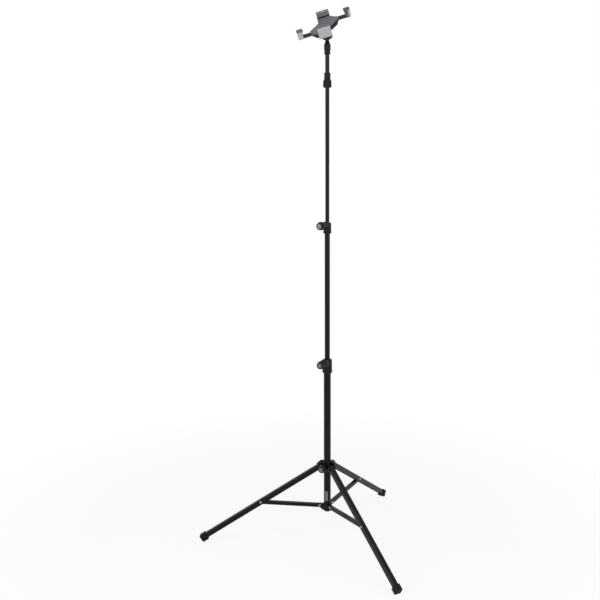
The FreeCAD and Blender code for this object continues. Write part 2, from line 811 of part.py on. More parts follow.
def make_rack():
    """Toothed bar along +X whose teeth face +Y towards the pinion at the origin."""
    press = math.tan(math.radians(pressure_angle))
    pitch = math.pi * gear_module
    tip = -gear_radius + rack_addendum * gear_module
    half_root = (pitch - backlash) / 4 + (rack_face - gear_radius) * press
    half_tip = (pitch - backlash) / 4 - rack_addendum * gear_module * press
    corners = [(-rack_root, -rack_back), (-rack_root, -rack_face)]
    for index in range(math.ceil(rack_start / pitch), math.floor(rack_end / pitch)):
        middle = (index + 0.5) * pitch
        corners += [(middle - half_root, -rack_face), (middle - half_tip, tip),
                    (middle + half_tip, tip), (middle + half_root, -rack_face)]
    corners += [(rack_end, -rack_face), (rack_end, -rack_back)]
    points = [Vector(x, y, 0) for x, y in corners]
    return Part.Face(Part.makePolygon(points + points[:1])).extrude(Vector(0, 0, arm_thickness))


def claw_block(low, high):
    """The claw's round-cornered block between two heights."""
    block = box(-claw_outer, -claw_outer + claw_thickness, claw_near, claw_near + claw_width,
                low, high)
    return round_long_edges(block, Vector(0, 0, 1), claw_corner, (high - low) / 2)


def grip_room():
    """Room that the rubber grip takes inside the claw's block."""
    return box(-claw_outer + claw_shell, 0, claw_near + claw_cheek, claw_near + 2 * claw_width,
               -2 * claw_low, 2 * claw_top)


def arm_strip(start):
    """The flat arm from a place in the claw to its inner end behind the pinion."""
    return box(start, rack_start, -arm_outer_v, -arm_inner_v, arm_bottom, arm_top)


def make_arm():
    """Dark arm that carries a claw, with its rack at the inner end."""
    rack = make_rack()
    rack.translate(Vector(0, 0, arm_bottom))
    return arm_strip(-claw_outer + claw_shell).fuse(rack).removeSplitter()


def make_claw():
    """Light outer shell of a claw, notched for the end of its arm."""
    shell = claw_block(-claw_low, claw_top - hook_thickness).cut(grip_room())
    return shell.cut(arm_strip(-claw_outer + claw_shell))


def make_hook():
    """Side view of the hook over the phone, with its tip past the grip's face."""
    outer = -claw_outer - hook_overhang
    inner = -claw_outer + hook_reach
    low = claw_top - hook_thickness
    face = -claw_outer + claw_thickness
    turn = claw_top - hook_round
    return [*polyline([(outer, low), (outer, turn)]),
            arc((outer + hook_round, turn), hook_round, 180, 90),
            *polyline([(outer + hook_round, claw_top), (inner - hook_round, claw_top)]),
            arc((inner - hook_round, turn), hook_round, 90, 0),
            *polyline([(inner, turn), (inner, low - hook_tip), (face, low - hook_tip),
                       (face, low), (outer, low)])]


def make_grip():
    """Dark rubber grip: the pad inside the claw and the hook over the phone."""
    pad = claw_block(-claw_low, claw_top - hook_thickness).common(grip_room())
    hook = plate_from(make_hook(), claw_width / 2 - hook_inset, -claw_middle)
    return pad.cut(arm_strip(-claw_outer)).fuse(hook).removeSplitter()


def across(edges):
    """Extrude a (distance, height) section to a jaw's width, on the near side of the pinion."""
    block = plate_from(edges, jaw_width / 2, -jaw_offset)
    return block.rotated(Vector(0, 0, 0), Vector(0, 0, 1), -90)


def make_jaw():
    """Light jaw: a wall with a hooked lip on a toothed tongue."""
    rack = turned(make_rack(), 90)
    rack.translate(Vector(0, 0, tongue_bottom))
    tongue = box(rack_face, rack_back, -jaw_outer + jaw_shell, rack_start,
                 tongue_bottom, tongue_top)
    inner = jaw_outer - jaw_shell
    tip = jaw_outer - lip_reach
    under = jaw_top - lip_thickness
    section = polyline([(inner, tongue_bottom), (inner + jaw_foot, tongue_bottom),
                        (jaw_outer, tongue_bottom + jaw_bevel),
                        (jaw_outer, jaw_top - jaw_round)])
    section += [arc((jaw_outer - jaw_round, jaw_top - jaw_round), jaw_round, 0, 90)]
    section += polyline([(jaw_outer - jaw_round, jaw_top), (tip, jaw_top), (tip, under),
                         (inner, under), (inner, tongue_bottom)])
    wall = across(section)
    slot_far = inner - jaw_pad - slip
    for side in (-1, 1):
        middle = -jaw_offset + side * jaw_width / 4
        wall = wall.cut(box(middle - lip_slot_length / 2, middle + lip_slot_length / 2,
                            -slot_far, -slot_far + lip_slot_width, under, jaw_top))
    return wall.multiFuse([rack, tongue]).removeSplitter()


def make_jaw_pad():
    """Rubber pad inside the near jaw, above its tongue."""
    outer = jaw_outer - jaw_shell
    low = tongue_top + slip
    high = jaw_top - lip_thickness
    return across(polyline([(outer - jaw_pad, low), (outer, low), (outer, high),
                            (outer - jaw_pad, high), (outer - jaw_pad, low)]))


def make_liner():
    """Friction liner over the upper half of the ball, seated on the nut's ledge."""
    ring = Part.makeSphere(ball_radius + ball_gap + liner_thickness - running)
    ring = ring.cut(Part.makeSphere(ball_radius + ball_gap))
    band = Part.makeCylinder(2 * ball_radius, liner_height, Vector(0, 0, -running))
    ring = ring.common(band)
    ring.translate(Vector(0, 0, -plate_height))
    return ring


def make_ring_nut():
    """Fluted nut that closes the cup under the ball."""
    low = -plate_height - nut_mouth
    high = low + nut_height
    nut = revolved([(0, low), (nut_radius - nut_chamfer, low), (nut_radius, low + nut_chamfer),
                    (nut_radius, high - nut_chamfer), (nut_radius - nut_chamfer, high),
                    (0, high)])
    nut = nut.cut(Part.makeCylinder(cup_radius + running, nut_height,
                                    Vector(0, 0, -plate_height - running)))
    nut = nut.cut(Part.makeSphere(ball_radius + ball_gap, Vector(0, 0, -plate_height)))
    distance = nut_radius + nut_flute_radius - nut_flute_depth
    flute = Part.makeCylinder(nut_flute_radius, nut_height, Vector(distance, 0, low))
    return nut.cut([turned(flute, 360 * index / nut_flutes) for index in range(nut_flutes)])


def head_placement():
    """Placement of the phone clamp's frame on the ball in the photographed pose."""
    rotation = Rotation(Vector(0, 1, 0), -head_roll).multiply(Rotation(Vector(1, 0, 0), head_pitch))
    centre = Vector(0, 0, ball_height)
    return Placement(centre + rotation.multVec(Vector(0, 0, plate_height)), rotation)


def tripod_pieces():
    """Everything from the floor to the two mast clamps' lower ends."""
    pieces = {"main_tube": tube(main_radius, main_wall, main_bottom, main_top),
              "brace_hub": make_brace_hub(), "hub_rivets": make_hub_rivets(),
              "leg_collar": make_leg_collar(), "leg_pivot_rivets": make_pivot_rivets()}
    for number, direction in enumerate(leg_directions, 1):
        leg = set_leg(make_leg())
        rivet = make_rivet(leg_width / 2)
        rivet.translate(Vector(strut_reach, 0, 0))
        foot = set_leg(make_foot())
        floor = box(0, 2 * foot_radius, -foot_radius, foot_radius, -foot_radius, 0)
        pieces[f"leg_{number}"] = turned(leg, direction)
        pieces[f"leg_rivet_{number}"] = turned(set_leg(rivet), direction)
        pieces[f"foot_{number}"] = turned(foot.cut(floor), direction)
        pieces[f"brace_{number}"] = turned(set_brace(make_brace()), direction)
    return pieces


def mast_pieces():
    """Sliding tubes, clamps and coupling."""
    pieces = {"lower_clamp": make_mast_clamp(main_radius, middle_radius, lower_clamp_base,
                                             main_top, lower_clamp_top, lower_knob_height),
              "upper_clamp": make_mast_clamp(middle_radius, top_radius, upper_clamp_base,
                                             middle_top, upper_clamp_top, upper_knob_height),
              "lower_clamp_screw": make_grub(main_radius, lower_clamp_base),
              "upper_clamp_screw": make_grub(middle_radius, upper_clamp_base),
              "middle_tube": tube(middle_radius, middle_wall, middle_bottom, middle_top),
              "middle_bush": make_bush(middle_radius, main_radius - main_wall - running,
                                       middle_bottom),
              "top_tube": tube(top_radius, top_wall, top_bottom, top_end),
              "top_bush": make_bush(top_radius, middle_radius - middle_wall - running,
                                    top_bottom),
              "tube_ferrule": make_ferrule(), "coupling_nut": make_coupling(),
              "head_rod": make_head_rod(), "rod_cap": make_rod_cap(),
              "ball_stud": make_ball_stud()}
    return pieces


def knob_pieces():
    """Knob, badge, stud and pad of the three clamps."""
    places = {"leg_collar": (collar_boss_reach, pivot_height, main_radius),
              "lower": (clamp_boss_reach, lower_knob_height, middle_radius),
              "upper": (clamp_boss_reach, upper_knob_height, top_radius)}
    pieces = {}
    for name, (reach, z, tube_radius) in places.items():
        pieces[f"{name}_knob"] = make_knob(reach, z)
        pieces[f"{name}_knob_badge"] = make_badge(reach, z)
        pieces[f"{name}_knob_stud"] = make_stud(reach, z, tube_radius)
        pieces[f"{name}_pressure_pad"] = make_pad(z, tube_radius)
    return pieces


def head_pieces():
    """The phone clamp, first in its own frame and then on the ball."""
    arm = make_arm()
    claw = make_claw()
    grip = make_grip()
    jaw = make_jaw()
    pad = make_jaw_pad()
    pieces = {"front_plate": make_front_plate(), "back_housing": make_housing(),
              "housing_screws": make_housing_screws(), "pinion": make_pinion(),
              "left_arm": arm, "right_arm": half_turn(arm),
              "left_claw": claw, "right_claw": half_turn(claw),
              "left_grip": grip, "right_grip": half_turn(grip),
              "near_jaw": jaw, "far_jaw": half_turn(jaw),
              "near_pad": pad, "far_pad": half_turn(pad),
              "ball_liner": make_liner(), "ring_nut": make_ring_nut()}
    place = head_placement()
    for shape in pieces.values():
        shape.Placement = place.multiply(shape.Placement)
    return pieces


def all_pieces():
    """Every piece in the mast's frame."""
    pieces = tripod_pieces()
    pieces.update(mast_pieces())
    pieces.update(knob_pieces())
    pieces.update(head_pieces())
    return pieces


def footprint_centre(pieces):
    """Middle of the whole object's box in plan."""
    total = FreeCAD.BoundBox()
    for shape in pieces.values():
        total.add(shape.BoundBox)
    return Vector((total.XMin + total.XMax) / 2, (total.YMin + total.YMax) / 2, 0)


def main():
    """Build every piece and write it about the origin."""
    os.makedirs("parts", exist_ok=True)
    pieces = all_pieces()
    shift = footprint_centre(pieces) * -1
    print("mast axis stands at", round(shift.x, 4), round(shift.y, 4))
    for name, shape in pieces.items():
        shape.translate(shift)
        shape.exportStep(f"parts/{name}.step")
    print("pieces", len(pieces))


main()
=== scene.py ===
import json
import math

import bpy
from mathutils import Matrix, Vector


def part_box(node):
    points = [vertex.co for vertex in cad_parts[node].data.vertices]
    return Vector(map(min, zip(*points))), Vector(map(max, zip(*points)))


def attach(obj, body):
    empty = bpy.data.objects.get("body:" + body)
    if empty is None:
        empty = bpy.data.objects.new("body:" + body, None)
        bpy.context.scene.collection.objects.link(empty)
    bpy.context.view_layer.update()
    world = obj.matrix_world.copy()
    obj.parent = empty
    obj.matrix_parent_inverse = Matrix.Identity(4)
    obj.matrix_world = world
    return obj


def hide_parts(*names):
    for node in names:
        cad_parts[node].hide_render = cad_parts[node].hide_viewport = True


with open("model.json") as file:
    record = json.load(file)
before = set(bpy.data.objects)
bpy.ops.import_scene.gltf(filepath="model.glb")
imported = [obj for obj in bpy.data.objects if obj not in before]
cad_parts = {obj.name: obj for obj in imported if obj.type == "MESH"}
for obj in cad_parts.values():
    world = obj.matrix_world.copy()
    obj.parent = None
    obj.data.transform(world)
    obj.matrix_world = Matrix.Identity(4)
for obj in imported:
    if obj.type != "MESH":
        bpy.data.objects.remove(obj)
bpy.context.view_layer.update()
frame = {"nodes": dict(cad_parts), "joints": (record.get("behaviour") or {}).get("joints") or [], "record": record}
nodes = frame["nodes"]
joints = {joint["name"]: joint for joint in frame["joints"]}
print("frame loaded:", len(nodes), "pieces")

# Places taken from the frame: the mast's axis, the leg collar's height, the phone clamp's axes
mastX = sum(corner.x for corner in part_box("main_tube")) / 2
collarZ = joints["leg_slider_knob_turn"]["pos_m"][2]
headU = Vector(joints["right_claw_slide"]["axis"])
headV = Vector(joints["far_jaw_slide"]["axis"])
headN = Vector(joints["head_spin"]["axis"])
headPlace = Matrix((headU, headV, headN)).transposed().to_4x4()
headPlace.translation = Vector(joints["pinion_turn"]["pos_m"])
halfTurn = Matrix.Rotation(math.pi, 4, "Z")


# Materials: small helpers first, then one function for each kind of finish

# Part of its span that a noise fills, and where a ramp over it starts and ends
noiseSpan = (0.3, 0.7)
rampSpan = (0.35, 0.65)


def newMaterial(name):
    material = bpy.data.materials.new(name)
    material.use_nodes = True
    tree = material.node_tree
    shader = tree.nodes["Principled BSDF"]
    coordinates = tree.nodes.new("ShaderNodeTexCoord")
    return material, tree, shader, coordinates.outputs["Object"]


def addNoise(tree, vector, scale, detail):
    noise = tree.nodes.new("ShaderNodeTexNoise")
    noise.inputs["Scale"].default_value = scale
    noise.inputs["Detail"].default_value = detail
    tree.links.new(vector, noise.inputs["Vector"])
    return noise.outputs["Fac"]


def addRamp(tree, factor, low, high):
    ramp = tree.nodes.new("ShaderNodeValToRGB")
    for element, position, color in zip(ramp.color_ramp.elements, rampSpan, (low, high)):
        element.position = position
        element.color = (*color, 1)
    tree.links.new(factor, ramp.inputs["Fac"])
    return ramp.outputs["Color"]


def addRange(tree, factor, low, high):
    mapRange = tree.nodes.new("ShaderNodeMapRange")
    mapRange.inputs["From Min"].default_value = noiseSpan[0]
    mapRange.inputs["From Max"].default_value = noiseSpan[1]
    mapRange.inputs["To Min"].default_value = low
    mapRange.inputs["To Max"].default_value = high
    tree.links.new(factor, mapRange.inputs["Value"])
    return mapRange.outputs["Result"]


def addBump(tree, shader, height, strength, distance):
    bump = tree.nodes.new("ShaderNodeBump")
    bump.inputs["Strength"].default_value = strength
    bump.inputs["Distance"].default_value = distance
    tree.links.new(height, bump.inputs["Height"])
    tree.links.new(bump.outputs["Normal"], shader.inputs["Normal"])


def shade(color, factor):
    return tuple(min(1.0, channel * factor) for channel in color)


# Colour, roughness from and to, size and depth of the grain in metres, how far the colour varies
finishes = {
    "powderCoat": {"color": (0.004, 0.004, 0.0043), "roughness": (0.2, 0.28), "grain": 0.0009,
                   "depth": 0.00003, "spread": 0.25, "specular": 0.16},
    "blackMoulding": {"color": (0.005, 0.005, 0.0054), "roughness": (0.3, 0.42), "grain": 0.0005,
                      "depth": 0.00005, "spread": 0.25, "specular": 0.15},
    "knobPlastic": {"color": (0.005, 0.005, 0.0054), "roughness": (0.28, 0.4), "grain": 0.0006,
                    "depth": 0.00004, "spread": 0.25, "specular": 0.16},
    "blackRubber": {"color": (0.009, 0.009, 0.009), "roughness": (0.6, 0.78), "grain": 0.0007,
                    "depth": 0.0001, "spread": 0.4, "specular": 0.12},
    "gripRubber": {"color": (0.11, 0.11, 0.115), "roughness": (0.6, 0.78), "grain": 0.0005,
                   "depth": 0.00008, "spread": 0.2, "specular": 0.2},
    "padRubber": {"color": (0.25, 0.25, 0.255), "roughness": (0.6, 0.78), "grain": 0.0005,
                  "depth": 0.00008, "spread": 0.15, "specular": 0.2},
    # lightMoulding darkened for the far jaw: painted shade, as both jaws are one moulding
    "lightMouldingPaintedShade": {"color": (0.27, 0.27, 0.275), "roughness": (0.4, 0.52), "grain": 0.0006,
                     "depth": 0.00003, "spread": 0.08, "specular": 0.3},
    "lightMoulding": {"color": (0.42, 0.42, 0.425), "roughness": (0.38, 0.5), "grain": 0.0006,
                      "depth": 0.00003, "spread": 0.08, "specular": 0.3},
    "slateMoulding": {"color": (0.14, 0.137, 0.152), "roughness": (0.42, 0.54), "grain": 0.0006,
                      "depth": 0.00004, "spread": 0.1, "specular": 0.2},
    "darkMoulding": {"color": (0.018, 0.018, 0.019), "roughness": (0.42, 0.56), "grain": 0.0006,
                     "depth": 0.00004, "spread": 0.2, "specular": 0.15},
    "railMoulding": {"color": (0.05, 0.05, 0.051), "roughness": (0.42, 0.56), "grain": 0.0006,
                     "depth": 0.00004, "spread": 0.2, "specular": 0.2},
    # A light grey label darkened to a mid grey: painted shade
    "blankLabelPaintedShade": {"color": (0.15, 0.15, 0.152), "roughness": (0.4, 0.5), "grain": 0.0012,
                   "depth": 0.00002, "spread": 0.12, "specular": 0.3},
    "naturalNylon": {"color": (0.55, 0.55, 0.52), "roughness": (0.35, 0.5), "grain": 0.0008,
                     "depth": 0.00003, "spread": 0.06, "specular": 0.45},
}

finishNoise = {"broad": 18.0, "broadDetail": 4.0, "fineDetail": 2.0, "bump": 0.6}


def makeFinish(name):
    values = finishes[name]
    material, tree, shader, place = newMaterial(name)
    broad = addNoise(tree, place, finishNoise["broad"], finishNoise["broadDetail"])
    fine = addNoise(tree, place, 1.0 / values["grain"], finishNoise["fineDetail"])
    spread = values["spread"]
    color = addRamp(tree, broad, shade(values["color"], 1 - spread),
                    shade(values["color"], 1 + spread))
    tree.links.new(color, shader.inputs["Base Color"])
    tree.links.new(addRange(tree, broad, *values["roughness"]), shader.inputs["Roughness"])
    shader.inputs["Specular IOR Level"].default_value = values["specular"]
    addBump(tree, shader, fine, finishNoise["bump"], values["depth"])
    return material


# Colour, roughness from and to, and how many brush lines run to a metre
metals = {
    # The badge's brush lines are its own; its dark colour is painted shade of its embossed rings
    "brushedBadge": {"color": (0.17, 0.17, 0.174), "roughness": (0.3, 0.46), "lines": 900.0},
    "zincSteel": {"color": (0.32, 0.32, 0.33), "roughness": (0.3, 0.44), "lines": 260.0},
    "blackSteel": {"color": (0.035, 0.035, 0.037), "roughness": (0.3, 0.45), "lines": 260.0},
}

metalNoise = {"lineDetail": 2.0, "patches": 60.0, "patchDetail": 3.0, "dark": 0.85,
              "pale": 1.1, "bump": 0.3, "depth": 0.00003}


def makeMetal(name):
    values = metals[name]
    material, tree, shader, place = newMaterial(name)
    lines = addNoise(tree, place, values["lines"], metalNoise["lineDetail"])
    patches = addNoise(tree, place, metalNoise["patches"], metalNoise["patchDetail"])
    color = addRamp(tree, patches, shade(values["color"], metalNoise["dark"]),
                    shade(values["color"], metalNoise["pale"]))
    tree.links.new(color, shader.inputs["Base Color"])
    tree.links.new(addRange(tree, lines, *values["roughness"]), shader.inputs["Roughness"])
    shader.inputs["Metallic"].default_value = 1.0
    addBump(tree, shader, lines, metalNoise["bump"], metalNoise["depth"])
    return material


materials = {name: makeFinish(name) for name in finishes}
materials.update({name: makeMetal(name) for name in metals})

slotFinish = {
    "black_paint": "powderCoat", "black_moulding": "blackMoulding",
    "knob_plastic": "knobPlastic", "badge_metal": "brushedBadge", "bright_steel": "zincSteel",
    "dark_steel": "blackSteel", "nylon": "naturalNylon", "black_rubber": "blackRubber",
    "grip_rubber": "gripRubber", "light_moulding": "lightMoulding",
    "slate_plate": "slateMoulding", "dark_housing": "darkMoulding",
}
for row in frame["record"]["subparts"]:
    node = nodes[row["node"]]
    node.data.materials.clear()
    node.data.materials.append(materials[slotFinish[row["material_slot"]]])
# The far jaw gets the darkened copy of the light moulding, which is painted shade
for name, finish in (("near_pad", "padRubber"), ("far_pad", "padRubber"),
                     ("far_jaw", "lightMouldingPaintedShade")):
    nodes[name].data.materials[0] = materials[finish]
print("materials made:", len(materials))


# Modelling helpers. Those that shape a piece take it active and selected, and all but pickFaces
# leave it so in object mode.

# A face looks along an axis when its normal's share of that axis is above this
facing = 0.9
# The rubber's ribs and the black pad strips of painted shadow are let into what carries them by this much
letIn = 0.0005


def clearSelection():
    bpy.ops.object.select_all(action="DESELECT")


def pickFaces(piece, test):
    bpy.ops.object.mode_set(mode="EDIT")
    bpy.ops.mesh.select_mode(type="FACE")
    bpy.ops.mesh.select_all(action="DESELECT")
    bpy.ops.object.mode_set(mode="OBJECT")
    for face in piece.data.polygons:
        face.select = test(face.center, face.normal)
    bpy.ops.object.mode_set(mode="EDIT")


def addBox(low, high):
    clearSelection()
    bpy.ops.mesh.primitive_cube_add(size=1.0)
    piece = bpy.context.object
    piece.scale = [b - a for a, b in zip(low, high)]
    piece.location = [(a + b) / 2 for a, b in zip(low, high)]
    bpy.ops.object.transform_apply(location=True, rotation=True, scale=True)
    return piece


def softenEdges(piece, width, segments=2):
    bevel = piece.modifiers.new("softEdges", "BEVEL")
    bevel.width = width
    bevel.segments = segments
    bevel.limit_method = "ANGLE"
    bpy.ops.object.modifier_apply(modifier=bevel.name)


def repeatRound(piece, count):
    bpy.ops.object.mode_set(mode="EDIT")
    bpy.ops.mesh.select_all(action="SELECT")
    for _ in range(count - 1):
        bpy.ops.mesh.duplicate()
        bpy.ops.transform.rotate(value=2 * math.pi / count, orient_axis="Z",
                                 center_override=(0, 0, 0))
    bpy.ops.object.mode_set(mode="OBJECT")


def repeatAlong(piece, count, step):
    bpy.ops.object.mode_set(mode="EDIT")
    bpy.ops.mesh.select_all(action="SELECT")
    for _ in range(count - 1):
        bpy.ops.mesh.duplicate()
        bpy.ops.transform.translate(value=step)
    bpy.ops.object.mode_set(mode="OBJECT")


def copyPiece(piece):
    copy = piece.copy()
    copy.data = piece.data.copy()
    bpy.context.scene.collection.objects.link(copy)
    return copy


def placePiece(piece, name, place, finish, slotName, body):
    clearSelection()
    piece.select_set(True)
    bpy.context.view_layer.objects.active = piece
    piece.matrix_world = place
    bpy.ops.object.transform_apply(location=True, rotation=True, scale=True)
    piece.name = name
    piece.data.name = name
    piece.data.materials.clear()
    piece.data.materials.append(materials[finish])
    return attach(piece, body)


def placeCopies(piece, rows, finish, slotName):
    for name, place, body in rows[1:]:
        placePiece(copyPiece(piece), name, place, finish, slotName, body)
    placePiece(piece, *rows[0][:2], finish, slotName, rows[0][2])


def aimAlong(point, direction):
    place = Vector(direction).to_track_quat("Z", "Y").to_matrix().to_4x4()
    place.translation = Vector(point)
    return place


# Rubber boots: a raised lip round each mouth. Lengths run along the leg from its upper pivot.
bootLip = {"pivotRadius": 0.024, "slope": 32.7, "start": 0.4306, "end": 0.4334,
           "halfWidth": 0.0100, "low": -0.0135, "high": 0.0101, "wall": 0.0012, "edge": 0.0005}


def legPlace(number):
    hinge = joints[f"leg_{number}_hinge"]["pos_m"]
    direction = math.atan2(hinge[1], hinge[0] - mastX)
    slope = math.radians(bootLip["slope"])
    return (Matrix.Translation((mastX, 0, 0)) @ Matrix.Rotation(direction, 4, "Z")
            @ Matrix.Translation((bootLip["pivotRadius"], 0, collarZ))
            @ Matrix.Rotation(slope, 4, "Y"))


def makeBootLips():
    half = bootLip["halfWidth"]
    lip = addBox((bootLip["start"], -half, bootLip["low"]),
                 (bootLip["end"], half, bootLip["high"]))
    pickFaces(lip, lambda center, normal: abs(normal.x) > facing)
    bpy.ops.mesh.inset(thickness=bootLip["wall"], use_individual=True)
    bpy.ops.mesh.bridge_edge_loops()
    bpy.ops.object.mode_set(mode="OBJECT")
    softenEdges(lip, bootLip["edge"])
    placeCopies(lip, [(f"bootLip{i}", legPlace(i), f"leg_{i}") for i in (1, 2, 3)],
                "blackRubber", "black_rubber")


makeBootLips()


# Domed caps on the rivets: leg to brace and hub in zinc, collar in black
rivetDome = {"radius": 0.0028, "rise": 0.0009, "legSide": 0.0089, "hubSide": 0.00715,
             "collarSide": 0.0118, "segments": 24, "rings": 12, "smoothTo": 40.0}


def makeRivetDomes():
    clearSelection()
    bpy.ops.mesh.primitive_uv_sphere_add(segments=rivetDome["segments"],
                                         ring_count=rivetDome["rings"],
                                         radius=rivetDome["radius"])
    dome = bpy.context.object
    bpy.ops.object.mode_set(mode="EDIT")
    bpy.ops.mesh.select_all(action="SELECT")
    bpy.ops.mesh.bisect(plane_co=(0, 0, 0), plane_no=(0, 0, 1), use_fill=True, clear_inner=True)
    bpy.ops.mesh.select_all(action="SELECT")
    bpy.ops.transform.resize(value=(1, 1, rivetDome["rise"] / rivetDome["radius"]),
                             center_override=(0, 0, 0))
    bpy.ops.object.mode_set(mode="OBJECT")
    bpy.ops.object.shade_smooth_by_angle(angle=math.radians(rivetDome["smoothTo"]))
    bright, dark = [], []
    for number in (1, 2, 3):
        legHinge, hubHinge = joints[f"leg_{number}_hinge"], joints[f"brace_{number}_hinge"]
        axis = Vector(legHinge["axis"])
        outward = Vector(hubHinge["pos_m"]) - Vector((mastX, 0, hubHinge["pos_m"][2]))
        collarPivot = Vector((mastX, 0, collarZ)) + outward
        for side, letter in ((1, "a"), (-1, "b")):
            at = Vector(legHinge["pos_m"]) + axis * side * rivetDome["legSide"]
            bright.append((f"legRivetDome{number}{letter}", aimAlong(at, axis * side),
                           f"leg_{number}"))
            at = Vector(hubHinge["pos_m"]) + axis * side * rivetDome["hubSide"]
            bright.append((f"hubRivetDome{number}{letter}", aimAlong(at, axis * side), "base"))
            at = collarPivot + axis * side * rivetDome["collarSide"]
            dark.append((f"collarRivetDome{number}{letter}", aimAlong(at, axis * side),
                         "leg_slider"))
    placeCopies(copyPiece(dome), dark, "blackSteel", "dark_steel")
    placeCopies(dome, bright, "zincSteel", "bright_steel")


makeRivetDomes()


# Soft wiper rings where a tube enters a clamp or the collar
wiperRings = {
    "lowerWiper": {"radius": 0.0087, "above": ("lower_knob_turn", 0.0095), "body": "base"},
    "upperWiper": {"radius": 0.0067, "above": ("upper_knob_turn", 0.006), "body": "middle_section"},
    "collarWiper": {"radius": 0.0117, "above": ("leg_slider_knob_turn", 0.0174),
                    "body": "leg_slider"},
}
wiperSection = {"width": 0.0007, "height": 0.0009, "sides": 12, "steps": 48, "weld": 0.00001}


def makeWiper(name):
    values = wiperRings[name]
    joint, rise = values["above"]
    clearSelection()
    bpy.ops.mesh.primitive_circle_add(vertices=wiperSection["sides"], radius=1.0,
                                      location=(values["radius"], 0, 0),
                                      rotation=(math.radians(90), 0, 0))
    ring = bpy.context.object
    ring.scale = (wiperSection["width"], wiperSection["height"], 1)
    bpy.ops.object.transform_apply(location=True, rotation=True, scale=True)
    bpy.ops.object.mode_set(mode="EDIT")
    bpy.ops.mesh.select_all(action="SELECT")
    bpy.ops.mesh.spin(steps=wiperSection["steps"], angle=2 * math.pi, center=(0, 0, 0),
                      axis=(0, 0, 1))
    bpy.ops.mesh.select_all(action="SELECT")
    bpy.ops.mesh.remove_doubles(threshold=wiperSection["weld"])
    bpy.ops.mesh.normals_make_consistent(inside=False)
    bpy.ops.object.mode_set(mode="OBJECT")
    bpy.ops.object.shade_smooth()
    place = Matrix.Translation((mastX, 0, joints[joint]["pos_m"][2] + rise))
    placePiece(ring, name, place, "blackRubber", "black_rubber", values["body"])


for name in wiperRings:
    makeWiper(name)


# Tapered shoulder between the lower clamp's barrel and its knob. Lengths run along the knob's axis.
clampShoulder = {"start": 0.0132, "end": 0.0352, "wide": 0.0141, "narrow": 0.0125,
                 "bore": 0.0098, "deep": 0.0022, "edge": 0.0005, "sides": 64, "smoothTo": 30.0}


def makeClampShoulder():
    clearSelection()
    bpy.ops.mesh.primitive_circle_add(vertices=clampShoulder["sides"], fill_type="NGON",
                                      radius=clampShoulder["wide"])
    shoulder = bpy.context.object
    length = clampShoulder["end"] - clampShoulder["start"]
    taper = clampShoulder["narrow"] / clampShoulder["wide"]
    bpy.ops.object.mode_set(mode="EDIT")
    bpy.ops.mesh.select_all(action="SELECT")
    bpy.ops.mesh.extrude_region_move(TRANSFORM_OT_translate={"value": (0, 0, length)})
    bpy.ops.transform.resize(value=(taper, taper, 1), center_override=(0, 0, length))
    bpy.ops.mesh.inset(thickness=clampShoulder["narrow"] - clampShoulder["bore"])
    bpy.ops.mesh.extrude_region_move(
        TRANSFORM_OT_translate={"value": (0, 0, -clampShoulder["deep"])})
    bpy.ops.mesh.select_all(action="SELECT")
    bpy.ops.mesh.normals_make_consistent(inside=False)
    bpy.ops.object.mode_set(mode="OBJECT")
    softenEdges(shoulder, clampShoulder["edge"])
    bpy.ops.object.shade_smooth_by_angle(angle=math.radians(clampShoulder["smoothTo"]))
    knob = joints["lower_knob_turn"]
    axis = Vector(knob["axis"])
    place = aimAlong(Vector((mastX, 0, knob["pos_m"][2])) + axis * clampShoulder["start"], axis)
    placePiece(shoulder, "lowerClampShoulder", place, "blackMoulding", "black_moulding", "base")


makeClampShoulder()


# Grip ribs round the union nut
nutRibs = {"count": 30, "inner": 0.0113, "outer": 0.01215, "width": 0.0011, "low": 0.0022,
           "high": 0.0198, "edge": 0.0003}


def makeNutRibs():
    rib = addBox((nutRibs["inner"], -nutRibs["width"] / 2, nutRibs["low"]),
                 (nutRibs["outer"], nutRibs["width"] / 2, nutRibs["high"]))
    softenEdges(rib, nutRibs["edge"])
    repeatRound(rib, nutRibs["count"])
    place = Matrix.Translation((mastX, 0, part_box("coupling_nut")[0].z))
    placePiece(rib, "nutRibs", place, "blackMoulding", "black_moulding", "coupling")


makeNutRibs()


# Turned badge faces with rings, let into the knobs
badgeFace = {"radius": 0.0072, "back": 0.00705, "thick": 0.0012, "rim": 0.0007, "ring": 0.00075,
             "step": 0.0003, "slant": 0.0001, "rings": 6, "peak": 0.0002, "sides": 64}


def makeBadges():
    clearSelection()
    bpy.ops.mesh.primitive_circle_add(vertices=badgeFace["sides"], radius=badgeFace["radius"],
                                      fill_type="NGON", location=(0, 0, badgeFace["back"]))
    badge = bpy.context.object
    bpy.ops.object.transform_apply(location=True, rotation=True, scale=True)
    bpy.ops.object.mode_set(mode="EDIT")
    bpy.ops.mesh.select_all(action="SELECT")
    bpy.ops.mesh.extrude_region_move(
        TRANSFORM_OT_translate={"value": (0, 0, badgeFace["thick"])})
    bpy.ops.mesh.inset(thickness=badgeFace["rim"])
    for index in range(badgeFace["rings"]):
        side = 1 if index % 2 else -1
        bpy.ops.mesh.inset(thickness=badgeFace["slant"])
        bpy.ops.transform.translate(value=(0, 0, side * badgeFace["step"]))
        bpy.ops.mesh.inset(thickness=badgeFace["ring"])
    bpy.ops.mesh.poke(offset=badgeFace["peak"])
    bpy.ops.mesh.select_all(action="SELECT")
    bpy.ops.mesh.normals_make_consistent(inside=False)
    bpy.ops.object.mode_set(mode="OBJECT")
    rows = []
    for joint, body, name in (("leg_slider_knob_turn", "leg_slider_knob", "collarBadge"),
                              ("lower_knob_turn", "lower_knob", "lowerBadge"),
                              ("upper_knob_turn", "upper_knob", "upperBadge")):
        knob = joints[joint]
        rows.append((name, aimAlong(knob["pos_m"], knob["axis"]), body))
    placeCopies(badge, rows, "brushedBadge", "badge_metal")
    for (name, _, _), node in zip(rows, ("leg_collar_knob_badge", "lower_knob_badge",
                                         "upper_knob_badge")):
        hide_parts(node)


makeBadges()
